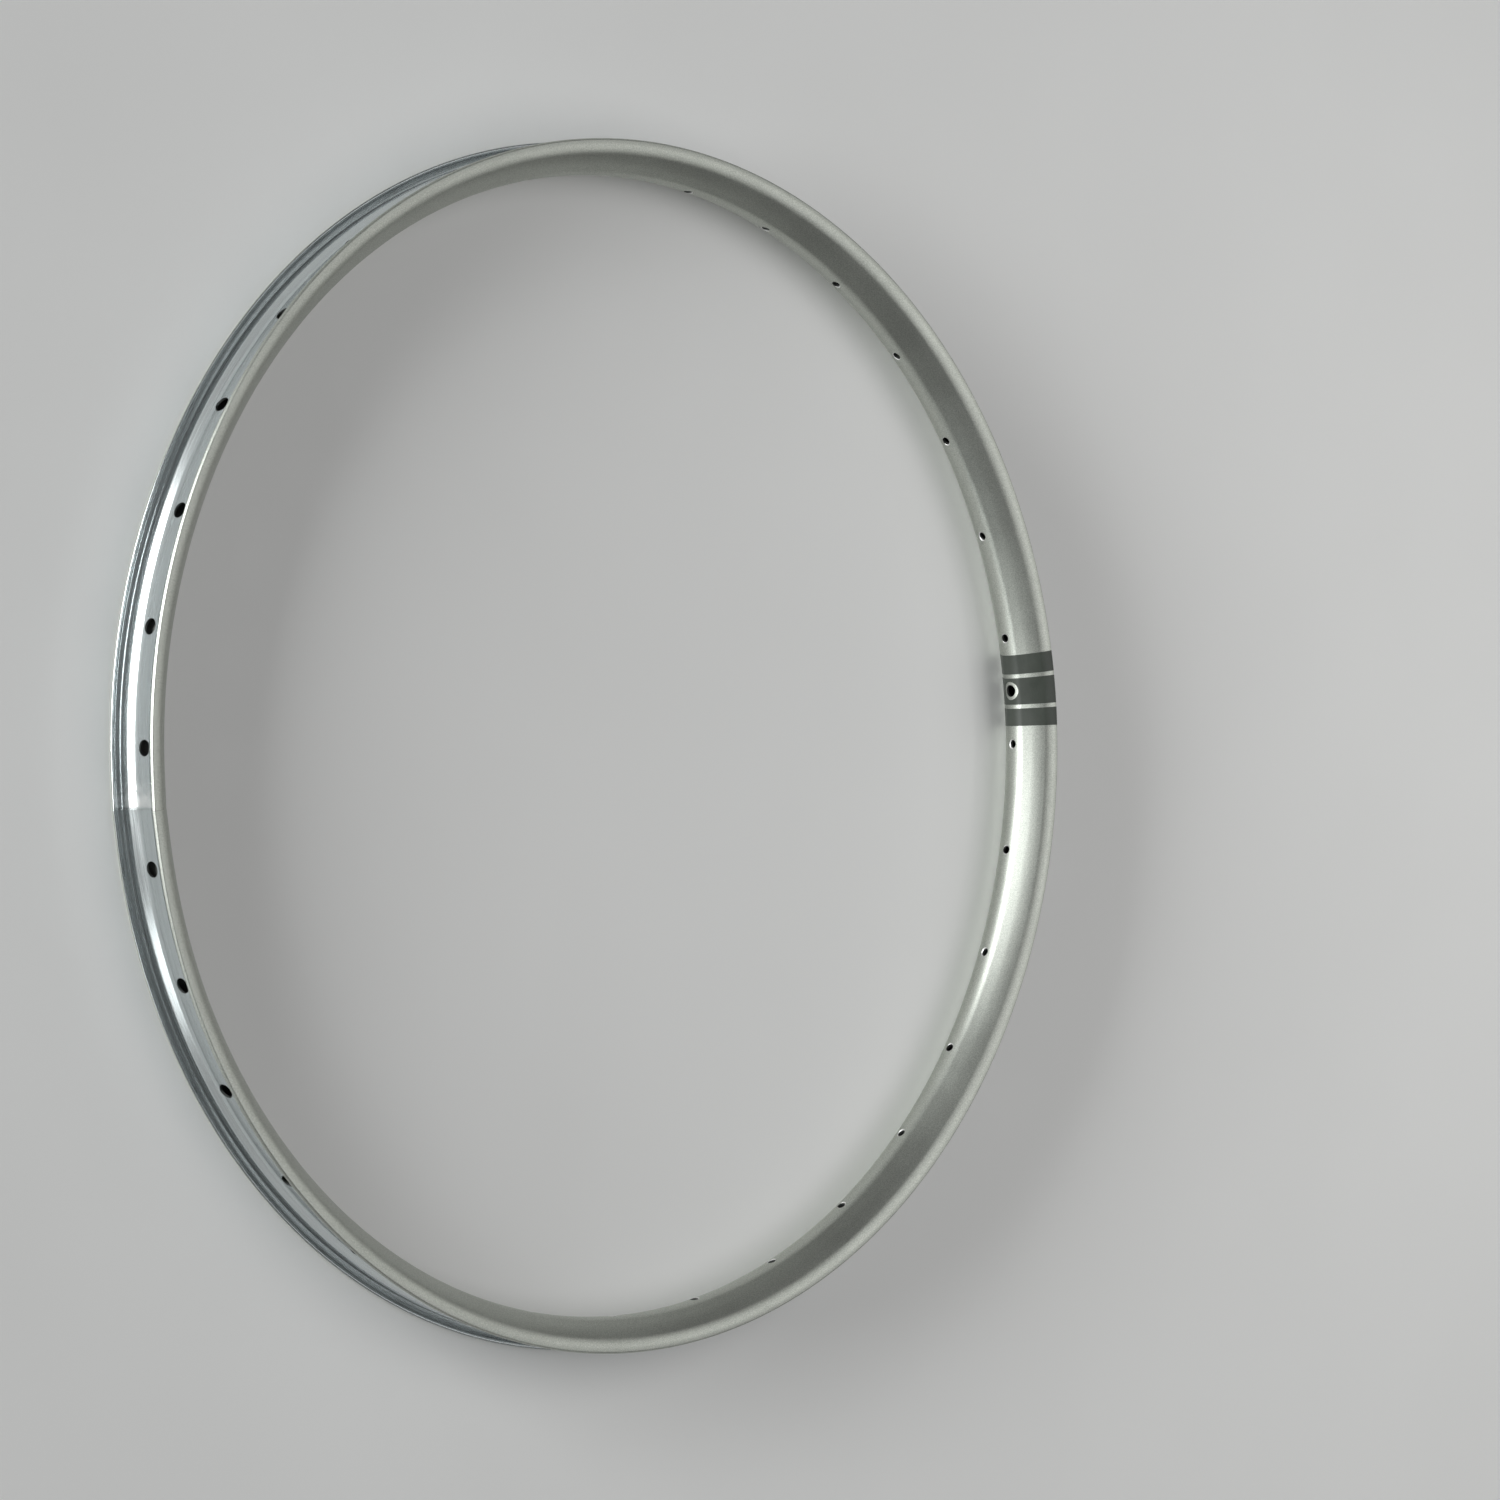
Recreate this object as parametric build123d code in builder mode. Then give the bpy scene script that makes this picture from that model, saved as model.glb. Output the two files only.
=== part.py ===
from build123d import *
import os
from math import cos, degrees, radians, sin, sqrt, tan

# A bicycle rim: a hollow double-wall hoop with bead hooks, drilled for alternate spokes, lying on its side.
# The axle axis is +Z, the origin is the hoop's centre on its mid-plane, and the valve hole is on +X.
# Sections are drawn with the radius along X and the offset from the mid-plane along Y.

# Driving dimensions, in mm and degrees
bead_seat_diameter = 622.0
flange_height = 5.5  # bead seat to flange tip
inner_width = 30.0  # between the two bead hooks
hook_thickness = 2.3  # flange at its tip
hook_height = 2.0
hook_undercut = 0.5  # how far the hook overhangs the flange wall
seat_width = 5.1  # bead seat, from the hook inwards
channel_depth = 2.5  # bead seat to the lowest line of the channel
rim_depth = 18.5  # flange tip to spoke bed
bed_round = 10.0  # section radius of the spoke bed
bed_slope = 38.5  # sidewall beside the bed, from the wheel's axis
sidewall_slope = 47.5  # sidewall beside the flange
knee_inset = 5.3  # flange side to the bend between the two slopes
knee_round = 40.0
shoulder_round = 9.0  # sidewall into flange side
tip_bevel = 0.6
bed_wall = 2.1
side_wall = 1.15
channel_wall = 1.2
chamber_corner = 1.0  # flat that blunts the chamber's two outer corners
spoke_count = 32
spoke_hole = 4.4
access_hole = 8.3
hole_tilt = 5.0  # spoke holes lean to either hub flange in turn
valve_hole = 6.5
seam_gap = 0.1  # hairline between the butted ends of the hoop
sleeve_length = 48.0
sleeve_wall = 1.8
sleeve_clearance = 0.1
film_thickness = 0.12
film_clearance = 0.3  # glue line between the film and the metal
upper_band = 10.6  # decal bands, along the bed
valve_band = 14.5
lower_band = 9.5
band_gap = 2.2
film_shift = -0.4  # middle of the valve band, from the valve hole
film_cutout = 10.0  # round opening in the decal at the valve hole
film_margin = 0.3  # bare metal between the decal and the flange's bevel

# Radii and half widths that follow from them
seat_radius = bead_seat_diameter / 2
tip_radius = seat_radius + flange_height
floor_radius = seat_radius - channel_depth
bed_radius = tip_radius - rim_depth
half_inner = inner_width / 2
half_width = half_inner + hook_thickness
bed_rise, bed_lean = tan(radians(bed_slope)), cos(radians(bed_slope))
side_rise, side_lean = tan(radians(sidewall_slope)), cos(radians(sidewall_slope))
apex_radius = bed_radius + bed_round - bed_round / bed_lean  # where the sidewalls would meet
knee = half_width - knee_inset
knee_radius = apex_radius + knee * bed_rise
shoulder_radius = knee_radius + knee_inset * side_rise
seat_edge = half_inner - seat_width
channel_round = (seat_edge**2 + channel_depth**2) / (2 * channel_depth)
spoke_pitch = 360 / spoke_count


def both_sides(points):
    """Corners of one half of a closed section, followed by their mirror images."""
    return points + [(x, -y) for x, y in reversed(points)]


def radial_plane(angle):
    """Section plane through the axle axis, turned from the valve by an angle."""
    return Plane(
        origin=(0, 0, 0),
        x_dir=(cos(radians(angle)), sin(radians(angle)), 0),
        z_dir=(sin(radians(angle)), -cos(radians(angle)), 0),
    )


# Outer section, from the spoke bed round one flange to the edge of the channel
hook_base = tip_radius - hook_height
wall_face = half_inner + hook_undercut
outer_half = [
    (apex_radius, 0),
    (knee_radius, knee),
    (shoulder_radius, half_width),
    (tip_radius - tip_bevel, half_width),
    (tip_radius, half_width - tip_bevel),
    (tip_radius, half_inner + tip_bevel),
    (tip_radius - tip_bevel, half_inner),
    (hook_base, half_inner),
    (hook_base - hook_undercut, wall_face),
    (seat_radius, wall_face),
    (seat_radius, seat_edge),
]
outer_section = [(x, -y) for x, y in reversed(outer_half)] + outer_half[1:]
hub_rounds = [shoulder_round, knee_round, bed_round, knee_round, shoulder_round]
plain_corners = [0] * (len(outer_half) - 4)
outer_rounds = plain_corners + hub_rounds + plain_corners


def inside(radius, inset):
    """Half width of the section at a radius, drawn in from the sidewall's two slopes."""
    beside_bed = (radius - apex_radius - inset / bed_lean) / bed_rise
    beside_flange = knee + (radius - knee_radius - inset / side_lean) / side_rise
    return min(beside_bed, beside_flange)


# Chamber between the spoke bed, the sidewalls and the tyre channel
chamber_bed = bed_radius + bed_wall
chamber_roof = floor_radius - channel_wall
seat_roof = seat_radius - channel_wall
chamber_foot = inside(chamber_bed, side_wall)
chamber_edge = inside(seat_roof, side_wall) - chamber_corner
corner_radius = seat_roof - chamber_corner * side_rise
roof_round = channel_round + channel_wall
roof_edge = sqrt(roof_round**2 - (roof_round - channel_depth) ** 2)
roof_flat = roof_edge - channel_depth * (roof_round - channel_depth) / roof_edge
chamber_half = [
    (chamber_roof, roof_flat),
    (seat_roof, roof_edge),
    (seat_roof, chamber_edge),
    (corner_radius, chamber_edge),
    (chamber_bed, chamber_foot),
]

# Stepped drill: a nipple hole through the bed, then a wide access hole through the channel
drill_step = (chamber_bed + chamber_roof) / 2 - bed_radius
with BuildPart() as spoke_drill:
    with BuildSketch(Plane.XZ):
        with BuildLine():
            Polyline(
                (0, -bed_wall),
                (spoke_hole / 2, -bed_wall),
                (spoke_hole / 2, drill_step),
                (access_hole / 2, drill_step),
                (access_hole / 2, rim_depth),
                (0, rim_depth),
                close=True,
            )
        make_face()
    revolve(axis=Axis.Z)

# The hoop: an extruded section rolled to a circle, its ends butted opposite the valve
seam_angle = degrees(seam_gap / tip_radius)
with BuildPart() as rim_hoop:
    with BuildSketch(radial_plane(180 + seam_angle / 2)):
        with BuildLine():
            FilletPolyline(outer_section, radius=outer_rounds)
            ThreePointArc((seat_radius, seat_edge), (floor_radius, 0), (seat_radius, -seat_edge))
        make_face()
        with BuildLine():
            Polyline(both_sides(chamber_half), close=True)
        make_face(mode=Mode.SUBTRACT)
    revolve(axis=Axis.Z, revolution_arc=360 - seam_angle)
    # Spoke holes lean to either side in turn
    for tilt, start in ((hole_tilt, -spoke_pitch / 2), (-hole_tilt, spoke_pitch / 2)):
        with PolarLocations(bed_radius, spoke_count // 2, start_angle=start):
            with Locations(Location((0, 0, 0), (0, 90 - tilt, 0))):
                add(spoke_drill.part, mode=Mode.SUBTRACT)
    with Locations(Location((tip_radius, 0, 0), (0, 90, 0))):
        Hole(radius=valve_hole / 2, depth=2 * rim_depth)
rim_hoop.part.label = "rim_hoop"


def sleeve_half(inset):
    """One half of the joint sleeve's outline, drawn in from the chamber's bed, roof and straight sides."""
    spread = (chamber_edge - chamber_foot) / (corner_radius - chamber_bed)
    foot = chamber_foot - inset * sqrt(1 + spread**2)
    bed = chamber_bed + inset
    roof = chamber_roof - inset
    return [(radius, foot + (radius - chamber_bed) * spread) for radius in (bed, roof)]


# The sleeve inside the chamber that holds the two butted ends in line
sleeve_angle = degrees(sleeve_length / chamber_bed)
with BuildPart() as joint_sleeve:
    with BuildSketch(radial_plane(180 - sleeve_angle / 2)):
        with BuildLine():
            Polyline(both_sides(sleeve_half(sleeve_clearance)), close=True)
        make_face()
        with BuildLine():
            Polyline(both_sides(sleeve_half(sleeve_clearance + sleeve_wall)), close=True)
        make_face(mode=Mode.SUBTRACT)
    revolve(axis=Axis.Z, revolution_arc=sleeve_angle)
joint_sleeve.part.label = "joint_sleeve"


def film_band(centre, length):
    """Thin film on the hub side of the hoop, from the upper flange tip down to the lower shoulder."""
    band_angle = degrees(length / bed_radius)
    shoulder_reach = shoulder_round * tan(radians(90 - sidewall_slope) / 2)
    lower_end = half_width - shoulder_reach * side_lean
    hub_side = [
        (tip_radius - tip_bevel - film_margin, half_width),
        (shoulder_radius, half_width),
        (knee_radius, knee),
        (apex_radius, 0),
        (knee_radius, -knee),
        (knee_radius + (lower_end - knee) * side_rise, -lower_end),
    ]
    with BuildPart() as band:
        with BuildSketch(radial_plane(degrees(centre / bed_radius) - band_angle / 2)):
            with BuildLine():
                FilletPolyline(hub_side, radius=hub_rounds[:-1])
                offset(amount=film_clearance + film_thickness, side=Side.RIGHT)
            make_face()
            with BuildLine():
                FilletPolyline(hub_side, radius=hub_rounds[:-1])
                offset(amount=film_clearance, side=Side.RIGHT)
            make_face(mode=Mode.SUBTRACT)
        revolve(axis=Axis.Z, revolution_arc=band_angle)
    return band


band_start = valve_band / 2 + band_gap
decal_upper = film_band(film_shift + band_start + upper_band / 2, upper_band)
decal_upper.part.label = "decal_upper"
decal_lower = film_band(film_shift - band_start - lower_band / 2, lower_band)
decal_lower.part.label = "decal_lower"
with BuildPart() as decal_valve:
    add(film_band(film_shift, valve_band))
    with Locations(Location((tip_radius, 0, 0), (0, 90, 0))):
        Hole(radius=film_cutout / 2, depth=2 * rim_depth)
decal_valve.part.label = "decal_valve"

os.makedirs("parts", exist_ok=True)
for piece in (rim_hoop, joint_sleeve, decal_upper, decal_valve, decal_lower):
    export_step(piece.part, f"parts/{piece.part.label}.step")
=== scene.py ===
import math
import bmesh
import bpy
from mathutils import Matrix, Quaternion, Vector


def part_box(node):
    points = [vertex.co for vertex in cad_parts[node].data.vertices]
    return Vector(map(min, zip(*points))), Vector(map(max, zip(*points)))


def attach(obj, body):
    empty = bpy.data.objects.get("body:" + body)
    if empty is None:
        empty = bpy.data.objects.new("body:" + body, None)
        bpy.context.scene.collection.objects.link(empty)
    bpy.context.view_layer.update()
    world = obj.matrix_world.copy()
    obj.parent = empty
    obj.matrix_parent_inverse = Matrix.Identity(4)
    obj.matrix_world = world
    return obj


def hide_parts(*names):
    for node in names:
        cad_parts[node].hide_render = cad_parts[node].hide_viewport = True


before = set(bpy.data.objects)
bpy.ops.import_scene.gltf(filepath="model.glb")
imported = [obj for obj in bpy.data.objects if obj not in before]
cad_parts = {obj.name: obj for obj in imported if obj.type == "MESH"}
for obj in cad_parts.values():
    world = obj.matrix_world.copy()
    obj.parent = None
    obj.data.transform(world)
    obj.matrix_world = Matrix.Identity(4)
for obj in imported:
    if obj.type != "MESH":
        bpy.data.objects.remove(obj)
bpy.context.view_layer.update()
mm = 0.001
print("frame loaded:", len(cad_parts), "nodes")


# small helpers for materials and meshes

# a new material, its nodes, its shader and the object's own coordinates
def startMaterial(name, metallic=0.0):
    material = bpy.data.materials.new(name)
    material.use_nodes = True
    tree = material.node_tree
    shader = tree.nodes["Principled BSDF"]
    shader.inputs["Metallic"].default_value = metallic
    place = tree.nodes.new("ShaderNodeTexCoord").outputs["Object"]
    return material, tree, shader, place


def addNode(tree, kind, settings=None, **sockets):
    node = tree.nodes.new(kind)
    for key, value in (settings or {}).items():
        setattr(node, key, value)
    for key, value in sockets.items():
        socket = node.inputs[key.replace("_", " ")]
        if isinstance(value, bpy.types.NodeSocket):
            tree.links.new(value, socket)
        else:
            socket.default_value = value
    return node


def noiseOn(tree, vector, scale, detail=3.0, roughness=0.55):
    return addNode(tree, "ShaderNodeTexNoise", Vector=vector, Scale=scale, Detail=detail,
                   Roughness=roughness).outputs["Fac"]


def spread(tree, value, low, high, start=0.3, end=0.7):
    return addNode(tree, "ShaderNodeMapRange", Value=value, From_Min=start, From_Max=end, To_Min=low,
                   To_Max=high).outputs["Result"]


def blend(tree, factor, first, second, kind="MIX"):
    mix = addNode(tree, "ShaderNodeMix", {"data_type": "RGBA", "blend_type": kind})
    for socket, value in zip((mix.inputs[0], mix.inputs[6], mix.inputs[7]), (factor, first, second)):
        if isinstance(value, bpy.types.NodeSocket):
            tree.links.new(value, socket)
        else:
            socket.default_value = value
    return mix.outputs[2]


def maths(tree, kind, first, second=0.0):
    node = addNode(tree, "ShaderNodeMath", {"operation": kind})
    for socket, value in zip(node.inputs, (first, second)):
        if isinstance(value, bpy.types.NodeSocket):
            tree.links.new(value, socket)
        else:
            socket.default_value = value
    return node.outputs[0]


def bumpOn(tree, height, distance, strength=1.0, under=None):
    bump = addNode(tree, "ShaderNodeBump", Height=height, Distance=distance, Strength=strength)
    if under:
        tree.links.new(under, bump.inputs["Normal"])
    return bump.outputs["Normal"]


# radius from the axle, angle round it and height, as one vector
def roundTheHoop(tree, objectVector, alongScale):
    split = addNode(tree, "ShaderNodeSeparateXYZ", Vector=objectVector)
    x, y, z = split.outputs[0], split.outputs[1], split.outputs[2]
    radius = maths(tree, "SQRT", maths(tree, "ADD", maths(tree, "MULTIPLY", x, x), maths(tree, "MULTIPLY", y, y)))
    angle = maths(tree, "MULTIPLY", maths(tree, "ARCTAN2", y, x), alongScale)
    return addNode(tree, "ShaderNodeCombineXYZ", X=radius, Y=angle, Z=z).outputs[0], split.outputs


def meshObject(name, bm):
    mesh = bpy.data.meshes.new(name)
    bm.to_mesh(mesh)
    bm.free()
    piece = bpy.data.objects.new(name, mesh)
    bpy.context.scene.collection.objects.link(piece)
    return piece


# replaces an object's mesh by what its modifiers make of it
def applyModifiers(piece):
    graph = bpy.context.evaluated_depsgraph_get()
    made = bpy.data.meshes.new_from_object(piece.evaluated_get(graph))
    piece.modifiers.clear()
    piece.data = made


def cutAway(piece, cutter):
    cut = piece.modifiers.new("cut", "BOOLEAN")
    cut.operation = "DIFFERENCE"
    cut.solver = "EXACT"
    cut.material_mode = "INDEX"
    cut.object = cutter
    applyModifiers(piece)
    # slivers at the cut's edge go
    bm = bmesh.new()
    bm.from_mesh(piece.data)
    bmesh.ops.dissolve_degenerate(bm, dist=0.002 * mm, edges=bm.edges[:])
    bm.to_mesh(piece.data)
    bm.free()


def smoothShade(piece, sharpAngle):
    piece.data.shade_smooth()
    piece.data.set_sharp_from_angle(angle=math.radians(sharpAngle))


# aluminium finishes: bead-blasted outside, drawn metal on the tyre side, a rough chamber darkened
# with painted shade, bright flares; grains are per metre, bumps in metres

finish = {
    "blastPale": (0.62, 0.64, 0.59, 1),
    "blastDark": (0.38, 0.40, 0.365, 1),
    "blastRough": (0.40, 0.46),
    "blastGrain": 1900,
    "blastCloud": 28,
    "blastBumps": (0.00006, 0.00002),  # grain, and the finer grain on it
    "drawnPale": (0.72, 0.76, 0.765, 1),
    "drawnDark": (0.62, 0.66, 0.67, 1),
    "drawnRough": (0.20, 0.29),
    "drawnLines": 1700,
    "drawnStreaks": 420,
    "drawnBump": 0.000004,
    "scuffAlong": (1.5, 15.0),   # mm from the seam
    "scuffAcross": (9.0, 14.0),  # mm from the mid-plane, where it fades
    "scuffGrain": 160,
    "scuffPale": (0.84, 0.84, 0.83, 1),
    "scuffRough": 0.22,          # on top of the drawn metal's
    "scuffBump": 0.00025,
    "cutColour": (0.86, 0.86, 0.85, 1),
    "cutRough": (0.42, 0.55),
    "cutGrain": 1800,
    "cutBump": 0.00003,
    # painted shade: this dark colour stands in for the shade inside the chamber and the bores
    "chamberShadeColour": (0.26, 0.27, 0.26, 1),
    "chamberRough": (0.4, 0.6),
    "chamberGrain": 300,
}


def darker(colour, share):
    return tuple(share * c for c in colour[:3]) + (1,)


def blastedAluminium():
    material, tree, shader, place = startMaterial("blastedAluminium", metallic=1.0)
    grain = noiseOn(tree, place, finish["blastGrain"], 4.0, 0.65)
    fine = noiseOn(tree, place, finish["blastGrain"] * 2.7, 2.0)
    cloud = noiseOn(tree, place, finish["blastCloud"])
    colour = blend(tree, spread(tree, grain, 0, 1, 0.36, 0.66), finish["blastDark"], finish["blastPale"])
    tree.links.new(colour, shader.inputs["Base Color"])
    low, high = finish["blastRough"]
    tree.links.new(spread(tree, cloud, low, high), shader.inputs["Roughness"])
    coarseBump, fineBump = finish["blastBumps"]
    normal = bumpOn(tree, grain, coarseBump)
    tree.links.new(bumpOn(tree, fine, fineBump, under=normal), shader.inputs["Normal"])
    return material


def drawnAluminium():
    material, tree, shader, place = startMaterial("drawnAluminium", metallic=1.0)
    along, axes = roundTheHoop(tree, place, 0.004)
    lines = noiseOn(tree, along, finish["drawnLines"], roughness=0.5)
    streaks = noiseOn(tree, along, finish["drawnStreaks"])
    smear = noiseOn(tree, place, finish["scuffGrain"])
    # scuffed where the joint was dressed, on one side of the seam only
    beside = maths(tree, "MULTIPLY", axes[1], 1 / mm)
    start, end = finish["scuffAlong"]
    near = spread(tree, beside, 0, 1, 0.2, start)
    far = spread(tree, beside, 1, 0, start + 4, end)
    atSeam = maths(tree, "LESS_THAN", axes[0], 0.0)
    scuff = maths(tree, "MULTIPLY", maths(tree, "MULTIPLY", near, far), atSeam)
    offMiddle = maths(tree, "MULTIPLY", maths(tree, "ABSOLUTE", axes[2]), 1 / mm)
    scuff = maths(tree, "MULTIPLY", scuff, spread(tree, offMiddle, 1.0, 0.15, *finish["scuffAcross"]))
    scuff = maths(tree, "MULTIPLY", scuff, spread(tree, smear, 0.15, 0.8, 0.35, 0.6))
    colour = blend(tree, spread(tree, streaks, 0, 1), finish["drawnDark"], finish["drawnPale"])
    colour = blend(tree, scuff, colour, finish["scuffPale"])
    tree.links.new(colour, shader.inputs["Base Color"])
    low, high = finish["drawnRough"]
    scuffRough = maths(tree, "MULTIPLY", scuff, finish["scuffRough"])
    rough = maths(tree, "ADD", spread(tree, lines, low, high), scuffRough)
    tree.links.new(rough, shader.inputs["Roughness"])
    normal = bumpOn(tree, lines, finish["drawnBump"])
    marks = maths(tree, "MULTIPLY", smear, scuff)
    tree.links.new(bumpOn(tree, marks, finish["scuffBump"], under=normal), shader.inputs["Normal"])
    return material


def chamberShadedAluminium():
    material, tree, shader, place = startMaterial("chamberShadedAluminium", metallic=1.0)
    dull = noiseOn(tree, place, finish["chamberGrain"], 4.0)
    pale = finish["chamberShadeColour"]
    # painted shade: a dark base colour in place of the shade inside the hollow section
    tree.links.new(blend(tree, spread(tree, dull, 0, 1), darker(pale, 0.7), pale), shader.inputs["Base Color"])
    tree.links.new(spread(tree, dull, *finish["chamberRough"]), shader.inputs["Roughness"])
    return material


def drilledAluminium():
    material, tree, shader, place = startMaterial("drilledAluminium", metallic=1.0)
    chatter = noiseOn(tree, place, finish["cutGrain"])
    pale = finish["cutColour"]
    tree.links.new(blend(tree, spread(tree, chatter, 0, 1), darker(pale, 0.88), pale), shader.inputs["Base Color"])
    tree.links.new(spread(tree, chatter, *finish["cutRough"]), shader.inputs["Roughness"])
    tree.links.new(bumpOn(tree, chatter, finish["cutBump"]), shader.inputs["Normal"])
    return material


hoopFinishes = [blastedAluminium(), drawnAluminium(), chamberShadedAluminium(), drilledAluminium()]
blasted, drawn, chamber, drilled = range(4)


# hoop: the extruded section in mm, rolled to a circle with its ends butted opposite the valve

hoop = {
    "depth": 18.5,            # flange tip to spoke bed
    "flangeHeight": 5.5,      # bead seat to flange tip
    "hookThickness": 2.3,
    "hookHeight": 2.0,
    "hookUndercut": 0.5,
    "seatWidth": 5.1,
    "channelDepth": 2.5,
    "channelSlope": 28.5,     # degrees from the axle axis
    "channelRound": 5.0,      # slope into the channel's floor
    "bedSlope": 38.5,
    "sidewallSlope": 47.5,
    "kneeInset": 5.3,         # flange side to the bend between the two slopes
    "bedWall": 2.1,
    "sideWall": 1.15,
    "channelWall": 1.2,
    "chamberCorner": 1.0,
    "bedRound": 10.0,
    "kneeRound": 40.0,
    "shoulderRound": 9.0,
    "bedCuts": 32,            # cuts in the three roundings of the hub side
    "kneeCuts": 8,
    "shoulderCuts": 24,
    "tipBevel": (0.7, 1.3),   # off the flange's outer edge: down its side, across its tip
    "bevelRound": 0.6,
    "tipRound": 0.9,
    "hookRound": 0.3,
    "footRound": 0.12,        # flange wall into bead seat
    "seatRound": 1.6,
    "seamGap": 0.1,
    "straightEnd": 15.0,      # the rolls leave the last bit of each end straight
    "endFade": 80.0,          # from there back to the full circle
    "steps": 320,
    "sharpAngle": 32.0,
}

hoopLow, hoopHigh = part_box("rim_hoop")
tipRadius = -hoopLow[0] / mm
halfWidth = hoopHigh[2] / mm
seatRadius = tipRadius - hoop["flangeHeight"]
bedRadius = tipRadius - hoop["depth"]
floorRadius = seatRadius - hoop["channelDepth"]
halfInner = halfWidth - hoop["hookThickness"]
wallFace = halfInner + hoop["hookUndercut"]
bedSlope, sideSlope = math.radians(hoop["bedSlope"]), math.radians(hoop["sidewallSlope"])
apexRadius = bedRadius + hoop["bedRound"] * (1 - 1 / math.cos(bedSlope))  # where the sidewalls would meet
knee = halfWidth - hoop["kneeInset"]
kneeRadius = apexRadius + knee * math.tan(bedSlope)
shoulderRadius = kneeRadius + hoop["kneeInset"] * math.tan(sideSlope)
seatEdge = halfInner - hoop["seatWidth"]
channelSlope = math.radians(hoop["channelSlope"])
channelFlat = seatEdge - hoop["channelDepth"] / math.tan(channelSlope)
chamberBed = bedRadius + hoop["bedWall"]
chamberRoof = floorRadius - hoop["channelWall"]


def bothSides(half):
    return half + [(r, -z, arc, cuts) for r, z, arc, cuts in reversed(half) if z > 0]


# each corner is radius, offset from the mid-plane, rounding radius and cuts in the rounding
def outerCorners():
    hookBase = tipRadius - hoop["hookHeight"]
    down, across = hoop["tipBevel"]
    return bothSides([
        (apexRadius, 0, hoop["bedRound"], hoop["bedCuts"]),
        (kneeRadius, knee, hoop["kneeRound"], hoop["kneeCuts"]),
        (shoulderRadius, halfWidth, hoop["shoulderRound"], hoop["shoulderCuts"]),
        (tipRadius - down, halfWidth, hoop["bevelRound"], 4),
        (tipRadius, halfWidth - across, hoop["bevelRound"], 3),
        (tipRadius, halfInner, hoop["tipRound"], 5),
        (hookBase, halfInner, hoop["hookRound"], 3),
        (hookBase - hoop["hookUndercut"], wallFace, hoop["hookRound"], 3),
        (seatRadius, wallFace, hoop["footRound"], 3),
        (seatRadius, seatEdge, hoop["seatRound"], 6),
        (floorRadius, channelFlat, hoop["channelRound"], 16),
    ])


def chamberCorners():
    wall, corner = hoop["sideWall"], hoop["chamberCorner"]
    seatRoof = seatRadius - hoop["channelWall"]
    foot = (chamberBed - apexRadius - wall / math.cos(bedSlope)) / math.tan(bedSlope)
    edge = knee + (seatRoof - kneeRadius - wall / math.cos(sideSlope)) / math.tan(sideSlope) - corner
    return bothSides([
        (chamberBed, foot, 0, 0),
        (seatRoof - corner * math.tan(sideSlope), edge, 0, 0),
        (seatRoof, edge, 0, 0),
        (seatRoof, seatEdge, 0, 0),
        (chamberRoof, channelFlat, 0, 0),
    ])


# a closed outline on the XZ plane with its corners rounded, left as bare edges
def addOutline(bm, corners):
    old = set(bm.edges)
    verts = [bm.verts.new((r * mm, 0, z * mm)) for r, z, arc, cuts in corners]
    bm.faces.new(verts)
    for i, (r, z, arc, cuts) in enumerate(corners):
        if arc == 0:
            continue
        here = Vector((r, z))
        toNext = Vector(corners[(i + 1) % len(corners)][:2]) - here
        toLast = Vector(corners[i - 1][:2]) - here
        reach = arc / math.tan(toNext.angle(toLast) / 2)
        bmesh.ops.bevel(bm, geom=[verts[i]], offset=reach * mm, offset_type="OFFSET", segments=cuts,
                        profile=0.5, affect="VERTICES", material=-1)
    edges = [e for e in bm.edges if e not in old]
    faces = list({f for e in edges for f in e.link_faces})
    bmesh.ops.delete(bm, geom=faces, context="FACES_ONLY")
    return edges


def spinOutline(bm, edges, start, sweep, steps):
    verts = list({v for e in edges for v in e.verts})
    bmesh.ops.rotate(bm, verts=verts, cent=(0, 0, 0), matrix=Matrix.Rotation(start, 3, "Z"))
    old = set(bm.faces)
    bmesh.ops.spin(bm, geom=verts + edges, axis=(0, 0, 1), cent=(0, 0, 0), angle=sweep, steps=steps)
    return [f for f in bm.faces if f not in old]


def closeEnds(bm, middle):
    ends = [[], []]
    for edge in bm.edges:
        if edge.is_boundary:
            ends[edge.verts[0].co.dot(middle) > 0].append(edge)
    for edges in ends:
        bmesh.ops.triangle_fill(bm, edges=edges, use_beauty=True)
    bmesh.ops.recalc_face_normals(bm, faces=bm.faces[:])


def onTyreSide(face):
    place = face.calc_center_median() / mm
    radius, side = math.hypot(place.x, place.y), abs(place.z)
    lowest = floorRadius if side < seatEdge else seatRadius
    return radius > lowest - 0.1 and side < wallFace + 0.05


# the straight ends meet on the circle, and the metal beside them lies a hair inside it
def straightenEnds(bm):
    reach, fade = hoop["straightEnd"] * mm, hoop["endFade"] * mm
    curve = 2 * bedRadius * mm
    for vert in bm.verts:
        along = abs(vert.co.y)
        if vert.co.x > 0 or along > reach + fade:
            continue
        if along < reach:
            sink = (reach ** 2 - (reach - along) ** 2) / curve
        else:
            sink = reach ** 2 / curve * (1 + math.cos(math.pi * (along - reach) / fade)) / 2
        vert.co.x += sink


def makeHoop():
    bm = bmesh.new()
    seam = hoop["seamGap"] / tipRadius
    start, sweep = math.pi + seam / 2, 2 * math.pi - seam
    for face in spinOutline(bm, addOutline(bm, outerCorners()), start, sweep, hoop["steps"]):
        face.material_index = drawn if onTyreSide(face) else blasted
    for face in spinOutline(bm, addOutline(bm, chamberCorners()), start, sweep, hoop["steps"]):
        face.material_index = chamber
    closeEnds(bm, Vector((0, 1, 0)))
    straightenEnds(bm)
    return meshObject("rimHoop", bm)


# drill: stepped spoke holes that lean to either side in turn, and the valve hole, in mm

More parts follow.
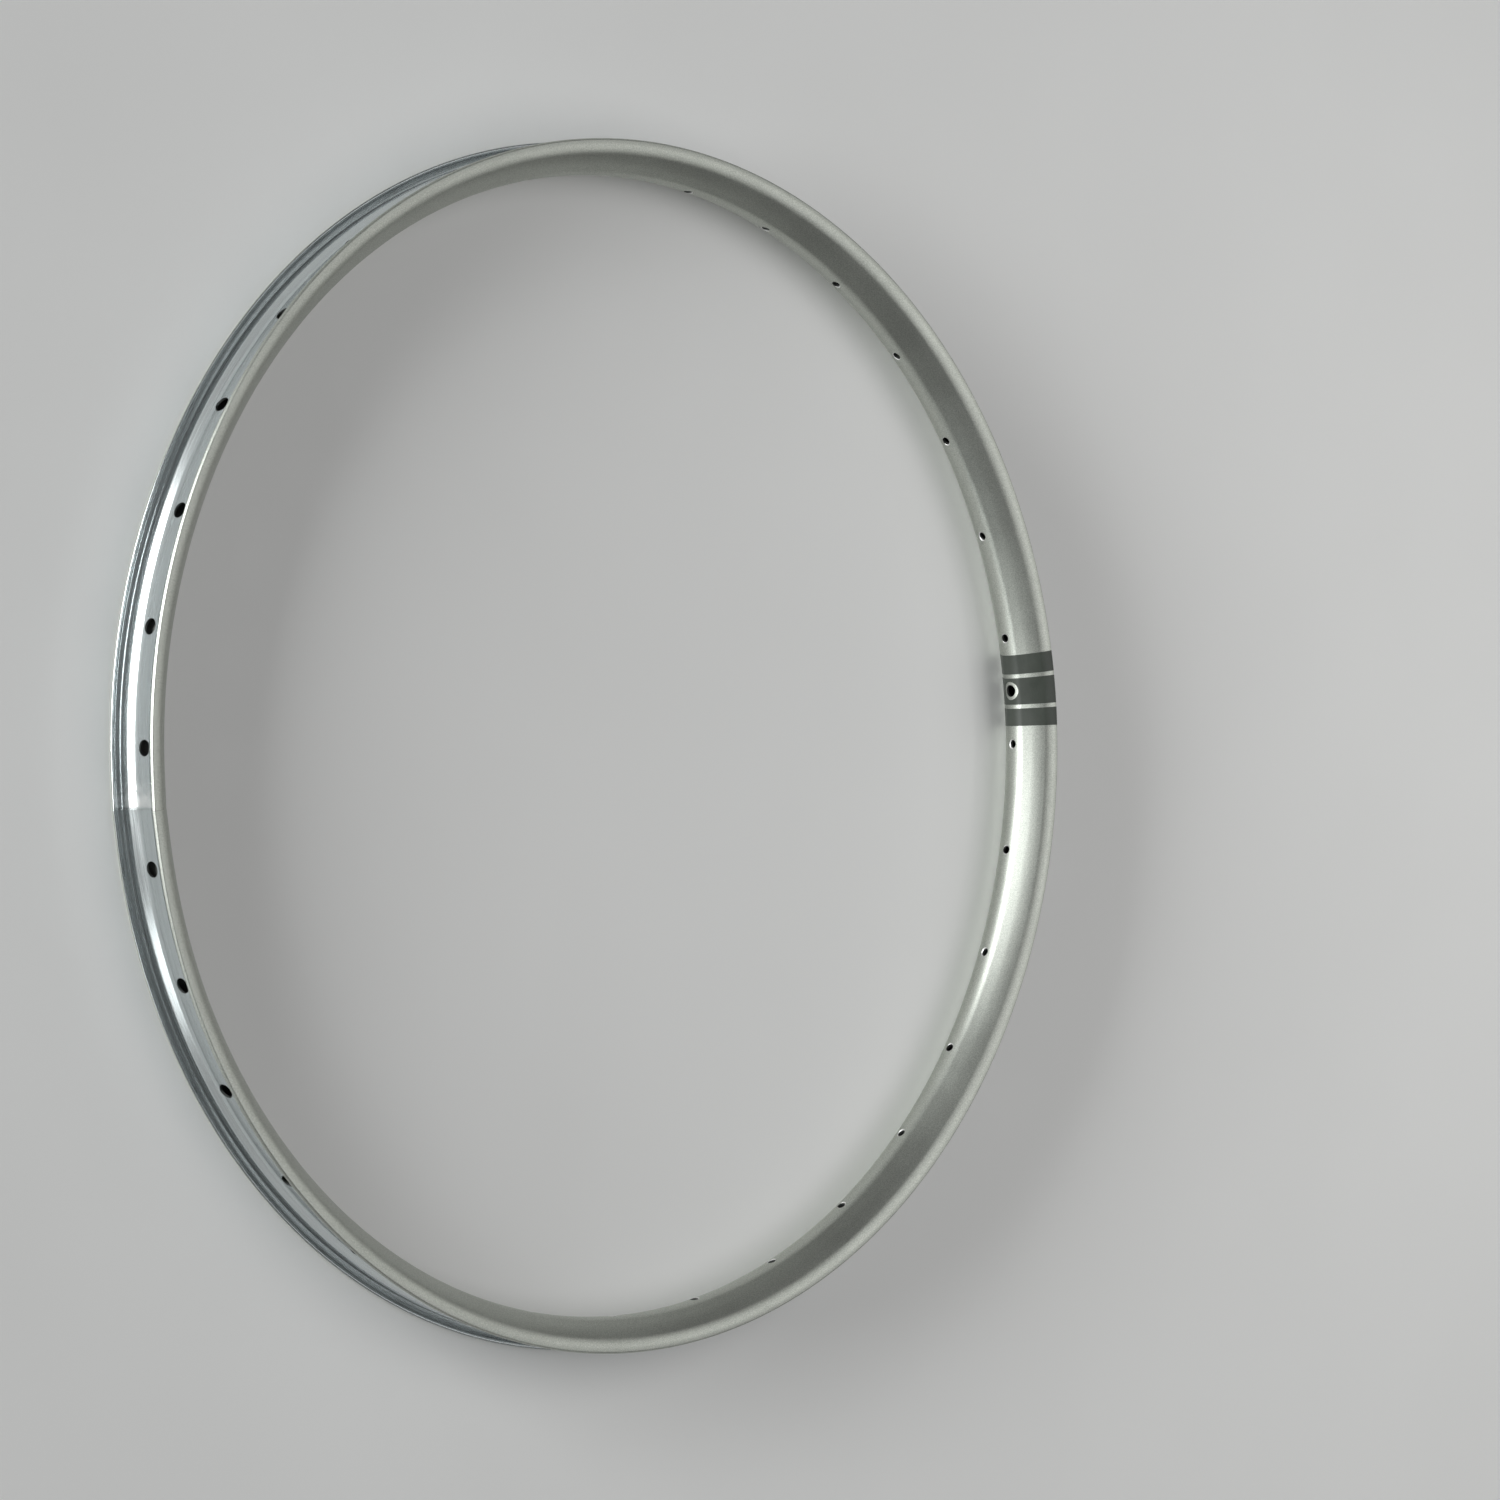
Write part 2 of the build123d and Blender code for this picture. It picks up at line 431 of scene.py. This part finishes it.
drill = {
    "count": 32,
    "tilt": 5.0,
    "nippleHole": 4.4,
    "accessHole": 8.3,
    "nippleFlare": 0.45,
    "valveHole": 6.5,
    "valveFlare": 0.15,
    "steps": 40,
}


# a turned cutter set on the spoke bed, from corners of radius and height over the bed
def addCutter(bm, corners, angle, tilt):
    old = set(bm.verts)
    verts = [bm.verts.new((r * mm, 0, h * mm)) for r, h in corners]
    edges = [bm.edges.new(pair) for pair in zip(verts, verts[1:])]
    bmesh.ops.spin(bm, geom=verts + edges, axis=(0, 0, 1), cent=(0, 0, 0), angle=2 * math.pi,
                   steps=drill["steps"], use_merge=True)
    bmesh.ops.remove_doubles(bm, verts=[v for v in bm.verts if v not in old], dist=0.001 * mm)
    fresh = [v for v in bm.verts if v not in old]
    # only the flares are bright: the bores behind them take the chamber's painted shade
    for face in {f for v in fresh for f in v.link_faces}:
        face.normal_update()
        face.material_index = drilled if 0.2 < abs(face.normal.z) < 0.95 else chamber
    onBed = Matrix.Rotation(angle, 4, "Z") @ Matrix.Translation((bedRadius * mm, 0, 0))
    outwards = Matrix.Rotation(math.pi / 2 - tilt, 4, "Y")
    bmesh.ops.transform(bm, matrix=onBed @ outwards, verts=fresh)


def makeCutter():
    bm = bmesh.new()
    step = (chamberBed + chamberRoof) / 2 - bedRadius
    mouth = floorRadius - bedRadius
    past = tipRadius - bedRadius
    nipple, access, stem = drill["nippleHole"] / 2, drill["accessHole"] / 2, drill["valveHole"] / 2
    flare, edge = drill["nippleFlare"], drill["valveFlare"]
    spoke = [(0, -2 * flare), (nipple + 4.5 * flare, -2 * flare), (nipple, flare), (nipple, step), (access, step),
             (access, past), (0, past)]
    pitch = 2 * math.pi / drill["count"]
    for k in range(drill["count"]):
        addCutter(bm, spoke, (k + 0.5) * pitch, math.radians(drill["tilt"] if k % 2 else -drill["tilt"]))
    valve = [(0, -3 * edge), (stem + 4 * edge, -3 * edge), (stem, edge), (stem, mouth - edge),
             (stem + 2 * edge, mouth + edge), (stem + 2 * edge, past), (0, past)]
    addCutter(bm, valve, 0, 0)
    bmesh.ops.recalc_face_normals(bm, faces=bm.faces[:])
    return meshObject("spokeDrills", bm)


rimHoop = makeHoop()
spokeDrills = makeCutter()
for material in hoopFinishes:
    rimHoop.data.materials.append(material)
    spokeDrills.data.materials.append(material)
cutAway(rimHoop, spokeDrills)
bpy.data.objects.remove(spokeDrills)
smoothShade(rimHoop, hoop["sharpAngle"])
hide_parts("rim_hoop")
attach(rimHoop, "root")
print("hoop:", len(rimHoop.data.polygons), "faces")


# film: three dark bands round the valve hole, in mm along the bed

film = {
    "thickness": 0.12,
    "glue": 0.03,             # from the metal to the film's underside
    "tipMargin": 0.9,         # bare metal up to the flange tip
    "upperBand": 10.6,
    "valveBand": 14.5,
    "lowerBand": 9.5,
    "gap": 2.2,
    "shift": -0.4,            # middle of the valve band, from the valve hole
    "cutout": 10.0,
    "cutoutDepth": 12.0,
    "cutoutSteps": 64,
    "steps": 12,
    "colour": (0.036, 0.042, 0.035, 1),
    "thin": (0.056, 0.064, 0.054, 1),
    "roughness": (0.36, 0.46),
    "specular": 0.4,
    "cloud": 90,
    "bump": 0.00003,
}


def filmMaterial():
    material, tree, shader, place = startMaterial("decalFilm")
    grain = noiseOn(tree, place, finish["blastGrain"], 4.0, 0.65)
    cloud = noiseOn(tree, place, film["cloud"])
    patch = maths(tree, "ADD", spread(tree, grain, 0, 0.5), spread(tree, cloud, 0, 0.5))
    tree.links.new(blend(tree, patch, film["colour"], film["thin"]), shader.inputs["Base Color"])
    low, high = film["roughness"]
    tree.links.new(spread(tree, cloud, low, high), shader.inputs["Roughness"])
    tree.links.new(bumpOn(tree, grain, film["bump"]), shader.inputs["Normal"])
    shader.inputs["Specular IOR Level"].default_value = film["specular"]
    return material


# hub side of the section, stood off the metal, from the upper flange tip to the lower shoulder
def filmSide(stand):
    side = halfWidth + stand
    mean, turn = (bedSlope + sideSlope) / 2, (sideSlope - bedSlope) / 2
    bendAt = knee + stand * math.sin(mean) / math.cos(turn)
    bend = kneeRadius - stand * math.cos(mean) / math.cos(turn)
    shoulderReach = hoop["shoulderRound"] * math.tan(math.pi / 4 - sideSlope / 2)
    lowEnd = halfWidth - shoulderReach * math.cos(sideSlope)
    shoulderArc, kneeArc, bedArc = (hoop[key] + stand for key in ("shoulderRound", "kneeRound", "bedRound"))
    return [
        (tipRadius - film["tipMargin"], side, 0, 0),
        (bend + (side - bendAt) * math.tan(sideSlope), side, shoulderArc, hoop["shoulderCuts"]),
        (bend, bendAt, kneeArc, hoop["kneeCuts"]),
        (apexRadius - stand / math.cos(bedSlope), 0, bedArc, hoop["bedCuts"]),
        (bend, -bendAt, kneeArc, hoop["kneeCuts"]),
        (bend + (lowEnd - bendAt) * math.tan(sideSlope), -lowEnd, 0, 0),
    ]


decalFilm = filmMaterial()


def makeFilm(name, node, centre, length, cutout=0):
    bm = bmesh.new()
    upper = filmSide(film["glue"] + film["thickness"])
    under = filmSide(film["glue"])
    sweep = length / bedRadius
    start = centre / bedRadius - sweep / 2
    spinOutline(bm, addOutline(bm, upper + under[::-1]), start, sweep, film["steps"])
    closeEnds(bm, Vector((-math.sin(start + sweep / 2), math.cos(start + sweep / 2), 0)))
    piece = meshObject(name, bm)
    piece.data.materials.append(decalFilm)
    if cutout:
        hole = bmesh.new()
        radius = cutout / 2 * mm
        bmesh.ops.create_cone(hole, cap_ends=True, segments=film["cutoutSteps"], radius1=radius, radius2=radius,
                              depth=film["cutoutDepth"] * mm)
        onBed = Matrix.Translation((bedRadius * mm, 0, 0)) @ Matrix.Rotation(math.pi / 2, 4, "Y")
        bmesh.ops.transform(hole, matrix=onBed, verts=hole.verts[:])
        punch = meshObject("filmPunch", hole)
        cutAway(piece, punch)
        bpy.data.objects.remove(punch)
    smoothShade(piece, hoop["sharpAngle"])
    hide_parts(node)
    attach(piece, "root")


bandStart = film["valveBand"] / 2 + film["gap"]
makeFilm("filmUpper", "decal_upper", film["shift"] + bandStart + film["upperBand"] / 2, film["upperBand"])
makeFilm("filmValve", "decal_valve", film["shift"], film["valveBand"], film["cutout"])
makeFilm("filmLower", "decal_lower", film["shift"] - bandStart - film["lowerBand"] / 2, film["lowerBand"])
print("film: three bands")


# sleeve: a copy of the CAD mesh, bent to lie in the straight ends

sleeve = {
    "pale": (0.62, 0.63, 0.62, 1),
    "dark": (0.52, 0.53, 0.52, 1),
    "roughness": (0.32, 0.45),
    "lines": 1900,
    "merge": 0.001,           # mm
}


def sleeveMaterial():
    material, tree, shader, place = startMaterial("sleeveAluminium", metallic=1.0)
    along, axes = roundTheHoop(tree, place, 0.02)
    lines = noiseOn(tree, along, sleeve["lines"], 4.0)
    tree.links.new(blend(tree, spread(tree, lines, 0, 1), sleeve["dark"], sleeve["pale"]), shader.inputs["Base Color"])
    tree.links.new(spread(tree, lines, *sleeve["roughness"]), shader.inputs["Roughness"])
    return material


def makeSleeve():
    bm = bmesh.new()
    bm.from_mesh(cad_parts["joint_sleeve"].data)
    bmesh.ops.remove_doubles(bm, verts=bm.verts[:], dist=sleeve["merge"] * mm)
    straightenEnds(bm)
    piece = meshObject("jointSleeve", bm)
    piece.data.materials.clear()
    piece.data.materials.append(sleeveMaterial())
    smoothShade(piece, hoop["sharpAngle"])
    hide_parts("joint_sleeve")
    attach(piece, "root")


makeSleeve()
print("sleeve: in the chamber at the seam")


# stage: pale floor and soft lights round the rim

stage = {
    "floorSize": 14.0,
    "floorPale": (0.92, 0.92, 0.91, 1),
    "floorDark": (0.90, 0.90, 0.89, 1),
    "floorRough": 0.9,
    "floorSpecular": 0.1,
    "floorCloud": 6,
    "sky": (0.09, 0.09, 0.09, 1),
}

# azimuth and elevation in degrees from the rim's centre, distance, width and height in metres
softboxes = {
    "lowWindow": {"azimuth": 158, "elevation": 10, "distance": 8.8, "width": 6.4, "height": 3.0, "level": 15.0,
                  "colour": (0.98, 1.0, 1.0)},
    "sideWindow": {"azimuth": 209, "elevation": 7, "distance": 8.8, "width": 2.4, "height": 2.0, "level": 3.5,
                   "colour": (0.96, 1.0, 1.0)},
    "edgePanel": {"azimuth": -5, "elevation": 36, "distance": 1.13, "width": 0.8, "height": 0.5, "level": 1.0,
                  "colour": (1.0, 1.0, 0.98)},
    "topPanel": {"azimuth": -5, "elevation": 72, "distance": 3.0, "width": 4.4, "height": 2.2, "level": 0.97,
                 "colour": (1.0, 1.0, 1.0)},
}


def fromRim(azimuth, elevation, distance):
    a, e = math.radians(azimuth), math.radians(elevation)
    return Vector((math.cos(e) * math.cos(a), math.cos(e) * math.sin(a), math.sin(e))) * distance


def addSoftbox(name, box):
    lamp = bpy.data.lights.new(name, "AREA")
    lamp.shape = "RECTANGLE"
    lamp.size, lamp.size_y = box["width"], box["height"]
    lamp.energy = box["level"] * math.pi * box["width"] * box["height"]
    lamp.color = box["colour"]
    holder = bpy.data.objects.new(name, lamp)
    holder.location = fromRim(box["azimuth"], box["elevation"], box["distance"])
    holder.rotation_euler = (-holder.location).to_track_quat("-Z", "Y").to_euler()
    bpy.context.scene.collection.objects.link(holder)


def makeFloor():
    bm = bmesh.new()
    bmesh.ops.create_grid(bm, x_segments=1, y_segments=1, size=stage["floorSize"] / 2)
    bmesh.ops.translate(bm, verts=bm.verts[:], vec=(0, 0, hoopLow[2]))
    floor = meshObject("floor", bm)
    material, tree, shader, place = startMaterial("palePaper")
    tone = noiseOn(tree, place, stage["floorCloud"], 2.0)
    tree.links.new(blend(tree, spread(tree, tone, 0, 1), stage["floorDark"], stage["floorPale"]),
                   shader.inputs["Base Color"])
    shader.inputs["Roughness"].default_value = stage["floorRough"]
    shader.inputs["Specular IOR Level"].default_value = stage["floorSpecular"]
    floor.data.materials.append(material)


makeFloor()
for name, box in softboxes.items():
    addSoftbox(name, box)
world = bpy.data.worlds.new("studio")
world.use_nodes = True
world.node_tree.nodes["Background"].inputs["Color"].default_value = stage["sky"]
bpy.context.scene.world = world
bpy.context.scene.view_settings.view_transform = "Standard"
print("stage: floor and", len(softboxes), "softboxes")


# camera: looks down on the lying rim from the side that the photograph shows

viewpoint = {
    "aim": (0.0999, -0.0124, 0.0),
    "azimuth": 174.43,
    "elevation": 47.16,
    "distance": 3.830,
    "roll": 89.62,
    "lens": 172.58,
}

lens = bpy.data.cameras.new("camera")
lens.lens = viewpoint["lens"]
lens.sensor_width = 36.0
camera = bpy.data.objects.new("camera", lens)
toCamera = fromRim(viewpoint["azimuth"], viewpoint["elevation"], viewpoint["distance"])
camera.location = Vector(viewpoint["aim"]) + toCamera
roll = Quaternion((0, 0, 1), math.radians(viewpoint["roll"]))
camera.rotation_euler = ((-toCamera).to_track_quat("-Z", "Y") @ roll).to_euler()
bpy.context.scene.collection.objects.link(camera)
bpy.context.scene.camera = camera
print("camera at", [round(v, 3) for v in camera.location])
